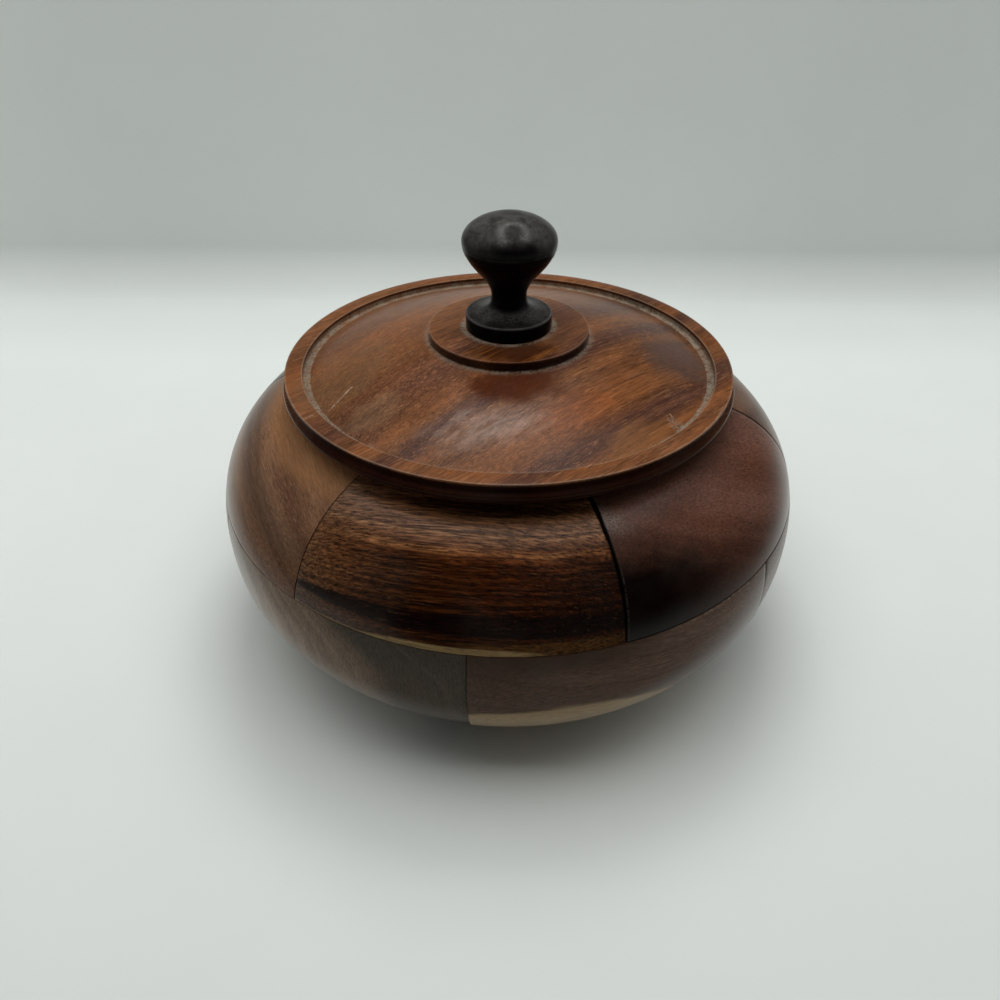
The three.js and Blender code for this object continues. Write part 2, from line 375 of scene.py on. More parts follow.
def saw(bm, azimuth, side, opening, wander):
    # cuts a block off at a joint; side 1 is the block that starts there, -1 the one that ends there
    across = outward(azimuth + 90)
    low, high = opening
    jointHeight = bowl["landHeight"] - bowl["courseHeight"]
    lean = atan2(high - low, jointHeight)
    normal = (across * cos(lean) - up * sin(lean)) * -side
    foot = up * bowl["courseHeight"] * mm + across * (side * bowl["gap"] / 2 + low) * mm
    cut = bmesh.ops.bisect_plane(
        bm, geom=bm.verts[:] + bm.edges[:] + bm.faces[:], dist=1e-7,
        plane_co=foot, plane_no=normal, clear_outer=True,
    )
    rim = only(cut["geom_cut"], bmesh.types.BMEdge)
    bmesh.ops.edgeloop_fill(bm, edges=rim)
    if wander:
        for v in {v for e in rim for v in e.verts}:
            share = (v.co.z / mm - bowl["courseHeight"]) / jointHeight
            spot = Vector((v.co.z, v.co.x, side)) / mm
            bow = bowl["crackBow"] * sin(pi * share)
            jitter = wander * share * noise.noise(spot * 0.35) * (1 + noise.noise(spot))
            v.co += across * (bow + jitter) * mm


def ease(value, low, high):
    share = min(max((value - low) / (high - low), 0), 1)
    return share * share * (3 - 2 * share)


def pushOut(bm, start):
    # shifts a block out of the round, most at its left foot
    for v in bm.verts:
        flat = Vector((v.co.x, v.co.y, 0))
        z = v.co.z / mm
        azimuth = degrees(atan2(v.co.x, -v.co.y)) - start
        upwards = 1 - 0.85 * ease(z, *bowl["proudTop"])
        rightwards = 1 - 0.75 * ease(azimuth, *bowl["proudRight"])
        amount = ease(z, *bowl["proudFoot"]) * upwards * rightwards
        v.co += flat.normalized() * bowl["proud"] * amount * mm


def makeBlock(node, section, start, end, openings, material, proud):
    margin = 5  # degrees spun past each joint, for the saw
    bm = spin(section, bowl["steps"], start - margin, end - start + 2 * margin, closed=True)
    for azimuth, side, (opening, wander) in zip((start, end), (1, -1), openings):
        saw(bm, azimuth, side, opening, wander)
    soften(bm, bowl["edge"])
    if proud:
        pushOut(bm, start)
    finishPiece(node.replace("segment", "block"), bm, material, "bowl", node)


# woods

def drawFibres(f, colour, grain, look):
    # fibres, dashes, and the open pores and pale flecks of the vessels
    seed = look["seed"]
    fibre = f.noise(grain, look["fibreScale"], seed, detail=4, roughness=0.7)
    colour = f.vary(colour, fibre, look["fibre"])
    dashes = f.rise(f.noise(grain, look["dash"], seed, detail=3, roughness=0.75), 0.36, 0.64)
    colour = f.vary(colour, dashes, look["dashes"])
    vessel = f.noise(grain, look["vesselScale"], seed, detail=3, roughness=0.7)
    pores = f.rise(vessel, *look["poreRange"])
    flecks = f.fall(vessel, *look["fleckRange"])
    colour = f.mix(pores * look["pores"], colour, f.vary(colour, pores, -look["poreDepth"]))
    colour = f.mix(flecks * look["flecks"], colour, look["fleckColour"])
    return colour, fibre, dashes, pores


def drawHairs(f, colour, grain, scale, strength, tone):
    hair = f.noise(grain, scale, (9, 2, 4), detail=3, roughness=0.7)
    return f.mix(f.rise(hair, 0.60, 0.70) * strength, colour, tone)


def woodFinish(name, look):
    look = {**plainLook, **look}
    f = Finish(name)
    seed = look["seed"]
    grain = f.place(look["lie"])
    sway = f.noise(grain, (0.012, 0.022, 0.022), seed) - 0.5
    ripple = f.noise(grain, (0.05, 0.12, 0.12), seed, detail=3) - 0.5
    depth = f.split(grain)[2] + sway * look["sway"] + ripple * look["ripple"]
    if "bend" in look:
        depth = depth + look["bend"](f)
    rings = f.layers(depth / look["ringWidth"] + seed[0])
    colour = f.ramp(rings, list(zip((0.34, 0.50, 0.66), look["tones"])))
    colour = f.vary(colour, f.noise(grain, (0.010, 0.05, 0.05), seed), 0.9)
    colour, fibre, dashes, pores = drawFibres(f, colour, grain, look)
    if "marks" in look:
        colour = look["marks"](f, colour, depth, fibre, dashes)
    colour = drawHairs(f, colour, grain, (0.035, 1.5, 1.5), look["hairs"], look["fleckColour"])

    # glue lines, darker and without wax
    wide = look["tierWidth"]
    clear = f.rise(abs(f.height() - bowl["courseHeight"]), wide * 0.25, wide)
    colour = f.shade(colour, clear, 1 - look["tierSeam"], 1)
    for azimuth, (strength, wide) in look["seams"]:
        away = f.rise(abs(f.frontOn(azimuth)[0]), wide * 0.25, wide)
        colour = f.shade(colour, away, 1 - strength, 1)
        clear = clear * away

    # dust, in specks and as a film
    position = f.place()
    film = f.noise(position, 0.03, detail=3, roughness=0.6)
    speck = f.noise(position, 0.9, detail=3, roughness=0.75, distortion=0.5)
    specks = f.rise(speck, 0.71, 0.79) * f.rise(film, 0.4, 0.6) * look["specks"]
    colour = f.mix(specks, colour, (0.34, 0.31, 0.26))
    colour = f.mix(f.rise(film, 0.3, 0.8) * 0.04, colour, (0.36, 0.34, 0.30))

    # more wax left on the lower half, that hands rub less
    sheen = look["sheen"](f, dashes) if "sheen" in look else 0.06
    low = f.fall(f.split(position)[2], 60, 71)
    coat = f.wax(look["wax"], low * look["foot"] + sheen)
    coat["Coat Weight"] = coat["Coat Weight"] * clear
    rough = look["roughness"] + (fibre - 0.5) * 0.3 + pores * 0.15
    relief = f.noise(grain, (0.05, 0.9, 0.9), seed, detail=1) - pores * 0.5
    return f.done(colour, rough, relief, look["depth"], **coat)


plainLook = {
    "fibreScale": (0.06, 1.4, 1.4), "vesselScale": (0.16, 1.9, 1.9),
    "poreRange": (0.56, 0.63), "poreDepth": 1.6, "fleckRange": (0.36, 0.44), "hairs": 0,
    "tierSeam": 0.6, "tierWidth": 0.35, "seams": [],  # how dark and how wide the glue lines are
    "wax": 1, "foot": 0.12,
}
woods = {
    "stripedHeartwood": {
        "slot": "striped_heartwood",
        "tones": [(0.050, 0.018, 0.006), (0.098, 0.038, 0.014), (0.155, 0.072, 0.029)],
        "ringWidth": 1.5, "sway": 9, "ripple": 1.6, "fibre": 2.0, "dash": (0.13, 1.8, 1.8), "dashes": 1.0,
        "pores": 0.9, "flecks": 0.35, "fleckColour": (0.20, 0.105, 0.045), "specks": 0.1,
        "roughness": 0.42, "depth": 0.45,
    },
    "redHeartwood": {
        "slot": "red_heartwood",
        "tones": [(0.078, 0.029, 0.016), (0.097, 0.038, 0.023), (0.112, 0.047, 0.030)],
        "ringWidth": 14, "sway": 16, "ripple": 3, "fibre": 1.3, "dash": (0.35, 1.4, 1.4), "dashes": 0.3,
        "pores": 0.4, "flecks": 0.12, "fleckColour": (0.19, 0.10, 0.065), "specks": 0.12,
        "roughness": 0.36, "depth": 0.12,
    },
    "warmHeartwood": {
        "slot": "warm_heartwood",
        "tones": [(0.094, 0.039, 0.016), (0.127, 0.057, 0.024), (0.157, 0.075, 0.034)],
        "ringWidth": 7, "sway": 14, "ripple": 4, "fibre": 1.0, "dash": (0.35, 2.4, 2.4), "dashes": 0.35,
        "pores": 0.35, "flecks": 0.25, "fleckColour": (0.25, 0.155, 0.09), "specks": 0.25, "hairs": 0.5,
        "roughness": 0.38, "depth": 0.16,
    },
    "darkHeartwood": {
        "slot": "dark_heartwood",
        "tones": [(0.038, 0.025, 0.016), (0.060, 0.041, 0.027), (0.082, 0.058, 0.040)],
        "ringWidth": 8, "sway": 12, "ripple": 3, "fibre": 0.9, "dash": (0.6, 2.2, 2.2), "dashes": 0.4,
        "pores": 0.35, "flecks": 0.15, "fleckColour": (0.16, 0.13, 0.10), "specks": 0.35,
        "roughness": 0.42, "depth": 0.14,
    },
}
frontMiddle, rightMiddle, leftMiddle = -9.35, 49.8, 291.8  # azimuths of the upper blocks in view


def frontMarks(f, colour, depth, fibre, dashes):
    # painted light on its top and painted shade towards its foot and right end, a grey veil of painted reflection on
    # its left end, a black band, tan below it and a cream sliver of sapwood
    x, height = f.frontOn(frontMiddle)
    ragged = f.noise(f.place(), (0.06, 0.06, 0.5), detail=3) - 0.5
    # painted shade, darker and redder towards the foot and the right end, with painted light on the top
    paintedShade = f.fall(height + ragged * 7, 81.5, 87.5) * (f.rise(x, -58, -14) * 0.75 + 0.25)
    colour = f.shade(colour, paintedShade, 1.75, 0.32)
    colour = f.shade(colour, paintedShade * f.rise(x, 14, 44), 1, 0.5)
    # painted reflection: a grey veil over the left end
    paintedVeil = f.fall(x, -56, -20)
    colour = f.mix(paintedVeil * 0.6, colour, f.vary((0.092, 0.060, 0.040), dashes, 1.2))
    colour = f.mix(paintedShade * 0.9, colour, (1.0, 0.63, 0.30), "MULTIPLY")
    colour = f.mix(paintedShade * f.rise(x, -24, 20) * 0.8, colour, (0.95, 0.66, 0.40), "MULTIPLY")
    band = f.band(depth + (fibre - 0.5) * 4, 36.6, 43.4, 0.9) * f.rise(height + ragged * 2, 65.4, 67.2)
    colour = f.mix(band * 0.96, colour, f.vary((0.0045, 0.0006, 0.0003), dashes, 1.6))
    below = f.fall(height + ragged * 2, 64.6, 66.4) * f.fall(x, -34, 0)
    colour = f.mix(below * 0.7, colour, f.vary((0.048, 0.022, 0.012), dashes, 1.2))
    golden = f.band(x + ragged * 10, 4, 50, 8) * f.fall(height + ragged, 64.4, 65.6)
    colour = f.mix(golden * 0.8, colour, f.vary((0.080, 0.033, 0.007), dashes, 1.2))
    top = (63.3 - (x - 2) * (x - 2) * 0.0022 + ragged * 2.0).math("MAXIMUM", 61.5)
    cream = f.fall(height, top - 0.5, top + 0.4) * f.fall(x, 20, 34)
    return f.mix(cream * (f.rise(x, -50, -20) * 0.5 + 0.4), colour, f.vary((0.30, 0.20, 0.090), fibre, 1.2))


def rightMarks(f, colour, depth, fibre, dashes):
    # nearly black towards the open joint and low down, dark wood with painted shade, with a patch of dust specks and
    # painted sheen above and a pale edge of wear
    x, height = f.frontOn(rightMiddle)
    ragged = f.noise(f.place(), (0.06, 0.06, 0.11), detail=4, roughness=0.65) - 0.5
    # dark wood with painted shade, darkest low down and towards the open joint
    reach = height + (x + 53) * 0.22 + ragged * 12
    dark = f.fall(reach, 79, 93) * (1 - f.rise(x + ragged * 20, -44, 14) * 0.72)
    colour = f.mix(dark, colour, f.vary((0.0032, 0.0009, 0.0004), fibre, 1.2))
    grit = f.noise(f.place(), (1.2, 1.2, 1.6), detail=3, roughness=0.7)
    # dust specks over a painted sheen
    pale = f.band(x, -43.5, -37, 2.2) * f.band(height + ragged * 4, 86.6, 90.8, 1.2)
    colour = f.mix(pale * f.rise(grit, 0.35, 0.62) * 0.32, colour, (0.30, 0.27, 0.24))
    # painted shade along the open joint's face, which leans and bows, and a pale edge of wear beside it
    tangent = f.frontOn(bowl["upperJoints"][1])[0]
    share = (height - bowl["courseHeight"]) / (bowl["landHeight"] - bowl["courseHeight"])
    edge = tangent - share * 0.95 - bowl["crackBottom"] - share * (1 - share) * (4 * bowl["crackBow"])
    colour = f.shade(colour, f.rise(edge, 0.05, 0.22), 0.1, 1)
    paleLine = f.band(edge, 0.4, 0.8, 0.15) * f.fall(height, 76, 88) * f.rise(grit, 0.38, 0.6)
    return f.mix(paleLine * 0.15, colour, (0.20, 0.17, 0.145))


def leftMarks(f, colour, depth, fibre, dashes):
    # an orange strip under the lid, a greyer zone below it and a warm one below that, and painted light towards the
    # lid
    x, height = f.frontOn(leftMiddle)
    ragged = f.noise(f.place(), (0.05, 0.05, 0.15), detail=3) - 0.5
    level = height + ragged * 4
    colour = f.mix(f.band(level, 86.5, 92.5, 1.2) * 0.6, colour, f.vary((0.180, 0.084, 0.033), fibre, 0.8))
    grey = f.band(level + (x + 20) * 0.12, 79, 86, 2)
    colour = f.mix(grey * 0.4, colour, f.vary((0.075, 0.044, 0.028), fibre, 0.8))
    warm = f.band(level + (x + 5) * 0.1, 70, 77, 2) * f.band(x, -25, 12, 9)
    colour = f.mix(warm * 0.45, colour, f.vary((0.175, 0.080, 0.030), fibre, 0.8))
    # painted light: brighter towards the lid
    return f.shade(colour, f.rise(height, 83.5, 91), 1, 1.75)


def lowerLeftMarks(f, colour, depth, fibre, dashes):
    # a dark grey band beside the joint, with paler growth layers in it
    dark = f.rise(depth + (fibre - 0.5) * 8, 20, 34)
    colour = f.mix(dark, colour, f.vary((0.054, 0.040, 0.028), dashes, 0.5))
    # painted light: lighter towards the foot, darker towards the top
    colour = f.shade(colour, f.rise(f.height(), 44, 60), 1.3, 0.95)
    pale = f.band(depth, 50.2, 51.8, 0.8) + f.band(depth, 43.5, 44.6, 0.7) * 0.6
    return f.mix(pale * f.rise(fibre, 0.3, 0.7) * 0.75, colour, (0.095, 0.074, 0.052))


def lowerRightMarks(f, colour, depth, fibre, dashes):
    # a cream patch of sapwood at the bottom of the proud block, and painted shade, dark red, at its top
    x, height = f.frontOn(15)
    ragged = f.noise(f.place(), (0.05, 0.05, 0.2), detail=3) - 0.5
    edge = 39.2 - (x + 12) * (x + 12) * 0.005 + ragged * 5
    cream = f.fall(height + (fibre - 0.5) * 3, edge - 1.6, edge + 0.8)
    colour = f.mix(cream, colour, f.vary((0.330, 0.225, 0.125), fibre, 1.4))
    # painted shade: dark red at the top, under the upper course
    red = f.rise(height, 50, 60) * f.fall(x, -2, 34)
    colour = f.mix(red * 0.85, colour, f.vary((0.036, 0.015, 0.007), fibre, 1.0))
    # dust along the joint above it, to the right
    grit = f.noise(f.place(), (0.7, 0.7, 1.5))
    dusty = f.band(height, 60.0, 60.9, 0.4) * f.rise(grit, 0.46, 0.6) * f.rise(x, 20, 32)
    return f.mix(dusty * 0.5, colour, (0.21, 0.175, 0.14))


def frontSheen(f, dashes):
    # wax left on top, rubbed through at the fibres, and at the left end of the foot
    x, height = f.frontOn(frontMiddle)
    left = f.fall(x, -36, -2) * f.fall(height, 62, 76)
    return f.rise(height, 83, 89) * (dashes * 0.2 + 0.17) + left * 0.5


def rightSheen(f, dashes):
    return f.rise(f.height(), 83, 90) * (dashes * 0.1 + 0.22) + 0.02


def growthBend(distance, start, amount):
    # growth layers that curve away more and more past a start
    over = (distance - start).math("MAXIMUM", 0)
    return over * over * amount


upperLooks = [
    ("stripedHeartwood", {
        "lie": (-15, -1.7, frontMiddle), "seed": (3.1, 7.7, 1.3), "sway": 3.5, "marks": frontMarks,
        "sheen": frontSheen, "foot": 0, "tierSeam": 0.3, "hairs": 0.25,
    }),
    ("redHeartwood", {
        "lie": (-20, 34, rightMiddle), "seed": (11.3, 2.2, 5.1), "marks": rightMarks,
        "sheen": rightSheen, "foot": 0.36, "tierSeam": 0.9, "tierWidth": 0.7,
    }),
    ("warmHeartwood", {
        "lie": (20, 12, 110.2), "seed": (21.7, 4.2, 8.3),
        "tones": [(0.066, 0.026, 0.013), (0.096, 0.041, 0.021), (0.124, 0.056, 0.030)],
    }),
    ("stripedHeartwood", {"lie": (-12, 4, 170.4), "seed": (31.9, 9.4, 3.5), "ringWidth": 3.4}),
    ("darkHeartwood", {"lie": (25, -20, 231), "seed": (41.3, 6.1, 2.9)}),
    ("warmHeartwood", {
        "lie": (-18, 3, leftMiddle), "seed": (5.9, 1.4, 6.6), "marks": leftMarks,
        "bend": lambda f: growthBend(f.frontOn(leftMiddle)[0], -22, 0.0022),
        "tones": [(0.094, 0.042, 0.021), (0.126, 0.060, 0.030), (0.158, 0.079, 0.041)],
        "tierSeam": 0.1, "foot": 0.34,
    }),
]
lowerLooks = [
    ("redHeartwood", {
        "lie": (12, 6, 23.4), "seed": (13.2, 3.9, 9.8), "marks": lowerRightMarks, "ringWidth": 7, "specks": 0.7,
        "tones": [(0.082, 0.044, 0.027), (0.096, 0.055, 0.036), (0.112, 0.067, 0.045)],
        "dashes": 0.35, "tierSeam": 0.2,
    }),
    ("stripedHeartwood", {
        "lie": (-10, 5, 83.3), "seed": (61.3, 2.8, 4.4), "ringWidth": 3.6, "wax": 0.75, "foot": 0.2,
    }),
    ("darkHeartwood", {"lie": (18, -8, 144), "seed": (71.9, 8.2, 1.7)}),
    ("warmHeartwood", {"lie": (-22, 15, 204.2), "seed": (81.4, 5.5, 7.3)}),
    ("stripedHeartwood", {"lie": (14, -6, 264.2), "seed": (91.2, 4.9, 6.2), "ringWidth": 4}),
    ("darkHeartwood", {
        "lie": (0, 90, 323.9), "seed": (17.3, 9.9, 2.1), "marks": lowerLeftMarks,
        "bend": lambda f: growthBend(f.height(), 42, 0.048),
        "tones": [(0.130, 0.086, 0.056), (0.155, 0.106, 0.072), (0.180, 0.128, 0.090)], "specks": 0.4,
        "tierSeam": 0.1,
    }),
]

# how dark and how wide upright glue lines are drawn, by azimuth where they differ from the rest
plainSeam = (0.6, 0.4)
seamLooks = {-6: (0.05, 0.4), 52.8: (0.92, 0.75), 80.3: (0.92, 0.9)}
# what the saw takes off beyond a joint, at its foot and top, and how far its line wanders
closedJoint = ((0, 0), 0)
crackFace = ((bowl["crackBottom"], bowl["crackTop"]), bowl["crackWander"])
plainFace = ((0, 0), bowl["crackWander"])


def makeCourse(prefix, looks, section, openings, proudBlock=None):
    joints = bowl[prefix + "Joints"]
    ends = [*joints[1:], joints[0] + 360]
    for i, ((kind, change), start, end) in enumerate(zip(looks, joints, ends)):
        seams = [(a, seamLooks.get(a, plainSeam)) for a in (start, end)]
        name = f"{prefix}{kind[0].upper()}{kind[1:]}{i + 1}"
        makeBlock(
            f"{prefix}_segment_{i + 1}", section, start, end, openings.get(i, (closedJoint, closedJoint)),
            woodFinish(name, {**woods[kind], **change, "seams": seams}),
            proud=i == proudBlock,
        )


# the front block ends at the open joint and the red block starts there
openJoint = {0: (closedJoint, plainFace), 1: (crackFace, closedJoint)}
makeCourse("upper", upperLooks, upperSection(), openJoint)
makeCourse("lower", lowerLooks, lowerSection(), {}, proudBlock=0)
print("blocks done")

disc = {
    "radius": 57.7, "footWidth": 11, "recess": 1.5, "top": 12, "edge": 0.6,
    "wood": {**woods["stripedHeartwood"], "lie": (80, 0, 30), "seed": (51, 3, 7), "ringWidth": 5},
}
bm = spin([
    (0, disc["recess"]),
    (disc["radius"] - disc["footWidth"] - disc["recess"], disc["recess"]),
    (disc["radius"] - disc["footWidth"], 0),
    (disc["radius"], 0),
    (disc["radius"], disc["top"]),
    (0, disc["top"]),
], steps=160)
soften(bm, disc["edge"], sharper=30)
finishPiece(
    "bottom_disc", bm, woodFinish("bottomDisc", disc["wood"]), "bowl", "base_disc",
)
print("bottom disc done")


# lid

lid = {
    "radius": 81.6, "seat": 93.3, "seatInner": 74.0, "bead": 98.1, "beadTop": 99.3,
    "rimRadius": 80.7, "rim": 102.7, "coveRadius": 78.8,
    "grooveOuter": 74.3, "grooveInner": 71.9, "grooveFloor": 100.1,
    "bossRadius": 28.7, "bossFoot": 111.3, "bossTop": 114.5, "knobFoot": 15.3,
    "spigotOuter": 61.2, "spigotInner": 54.7, "spigotEnd": 87.3,
    "ceiling": 102.3, "ceilingEdge": 97.2, "bore": 6.3, "boreFloor": 105.2,
    "edge": 0.3, "rimEdge": 0.8,
}


def domeHeight(r):
    share = (r ** 2 - lid["bossRadius"] ** 2) / (lid["grooveInner"] ** 2 - lid["bossRadius"] ** 2)
    return lid["bossFoot"] + (lid["grooveFloor"] - lid["bossFoot"]) * share


def lidSection():
    k = lid
    midHollow = (k["bossRadius"] + k["spigotInner"]) / 2
    steps = 30
    dome = [k["grooveInner"] + (k["bossRadius"] - k["grooveInner"]) * i / steps for i in range(steps + 1)]
    return [
        (0, k["ceiling"]),
        *bend((k["bossRadius"], k["ceiling"]), (midHollow, k["ceiling"]), (k["spigotInner"], k["ceilingEdge"]), 12),
        (k["spigotInner"], k["spigotEnd"]),
        (k["spigotOuter"], k["spigotEnd"]),
        (k["spigotOuter"], k["seat"]),
        *bend((k["seatInner"], k["seat"]), (k["radius"] - 0.6, k["seat"] + 1.2), (k["radius"], k["bead"]), 14),
        *bend((k["radius"], k["bead"]), (k["radius"], k["beadTop"] - 0.2), (k["radius"] - 0.8, k["beadTop"]), 6)[1:],
        *bend(
            (k["radius"] - 1.0, k["beadTop"] + 0.1), (k["coveRadius"], k["beadTop"] + 1.2),
            (k["rimRadius"], k["rim"]), 14,
        ),
        (k["grooveOuter"], k["rim"]),
        (k["grooveOuter"], k["grooveFloor"]),
        *[(r, domeHeight(r)) for r in dome],
        (k["bossRadius"], k["bossTop"]),
        (k["bore"], k["bossTop"]),
        (k["bore"], k["boreFloor"]),
        (0, k["boreFloor"]),
    ]


def isRim(edge):
    return all(
        v.co.z > (lid["rim"] - 0.5) * mm and v.co.to_2d().length > (lid["rimRadius"] - 1.2) * mm
        for v in edge.verts
    )


lidLook = {
    "lie": (7, 3, 44), "seed": (4.3, 1.9, 7.7),
    "fibreScale": (0.04, 1.4, 1.4), "fibre": 1.3, "dash": (0.12, 1.9, 1.9), "dashes": 0.45,
    "vesselScale": (0.13, 2.0, 2.0), "poreRange": (0.56, 0.64), "pores": 0.7, "poreDepth": 1.4,
    "fleckRange": (0.35, 0.43), "flecks": 0.42, "fleckColour": (0.33, 0.15, 0.06),
}
lidTones = {
    "orange": (0.172, 0.060, 0.019), "tan": (0.146, 0.055, 0.020),
    "brown": (0.111, 0.041, 0.016), "purple": (0.080, 0.031, 0.018),
}
lidStreaks = [
    (-82, "tan"), (-62, "brown"), (-50, "orange"), (-34, "tan"), (-27, "tan"), (-21, "brown"),
    (-10, "purple"), (-4, "brown"), (1, "orange"), (5, "tan"), (10, "purple"), (13, "purple"), (18, "tan"),
    (25, "brown"), (32, "orange"), (40, "orange"), (46, "purple"), (50, "purple"), (56, "orange"),
    (62, "brown"), (69, "orange"), (82, "brown"),
]
# soft patches on the plan; a later one lies over an earlier one
lidPatches = [
    {"at": (-57, -18), "size": (17, 26), "angle": -20, "share": 0.4, "tone": (0.124, 0.074, 0.040), "uneven": 1.6},
    {"at": (-30, -28), "size": (22, 9), "angle": 44, "bright": 1.3},
    {
        "at": (-44, -43), "size": (13, 8), "angle": 44, "share": 0.6, "tone": (0.240, 0.140, 0.068), "uneven": 2.0,
        "streaky": True,
    },
    {
        "at": (42, -54), "size": (17, 8), "angle": 44, "share": 1, "tone": (0.200, 0.082, 0.026), "uneven": 1.4,
        "streaky": True,
    },
    {"at": (46, -24), "size": (20, 12), "angle": 60, "bright": 0.82},
    {"at": (35, -14), "size": (10, 8), "angle": 44, "bright": 1.25},
    {"at": (-20, -13), "size": (9, 8), "angle": 44, "bright": 1.2},
    {"at": (24, -46), "size": (18, 11), "angle": 30, "share": 0.7, "tint": (1.05, 0.85, 0.62)},
    {"at": (61, -4), "size": (18, 16), "angle": 60, "share": 0.85, "tone": (0.066, 0.036, 0.027), "uneven": 1.0},
]
# painted highlights along arrises: radius, height, then how far in and out, how far below it, and how bright
lidArrisHighlights = [
    (lid["rimRadius"], lid["rim"], (-0.7, 0.1, 0.2), (-0.7, -0.3), 0.2),
    (lid["grooveOuter"], lid["rim"], (-0.1, 0.45, 0.12), (-0.4, -0.1), 0.2),
    (lid["bossRadius"], lid["bossTop"], (-0.5, -0.1, 0.15), (-0.4, -0.1), 0.12),
]
# scratches: both ends on the plan, width and strength
lidScratches = [
    ((-53.0, -27.3), (-59.4, -37.3), 0.5, 0.7),
    ((-65.6, -45.7), (-63.2, -43.2), 0.35, 0.5),
    ((71.1, -35.8), (67.2, -43.6), 0.3, 0.3),
    ((67.2, -43.6), (62.1, -50.1), 0.3, 0.25),
    ((53.0, -39.5), (54.6, -42.5), 0.35, 0.5),
]


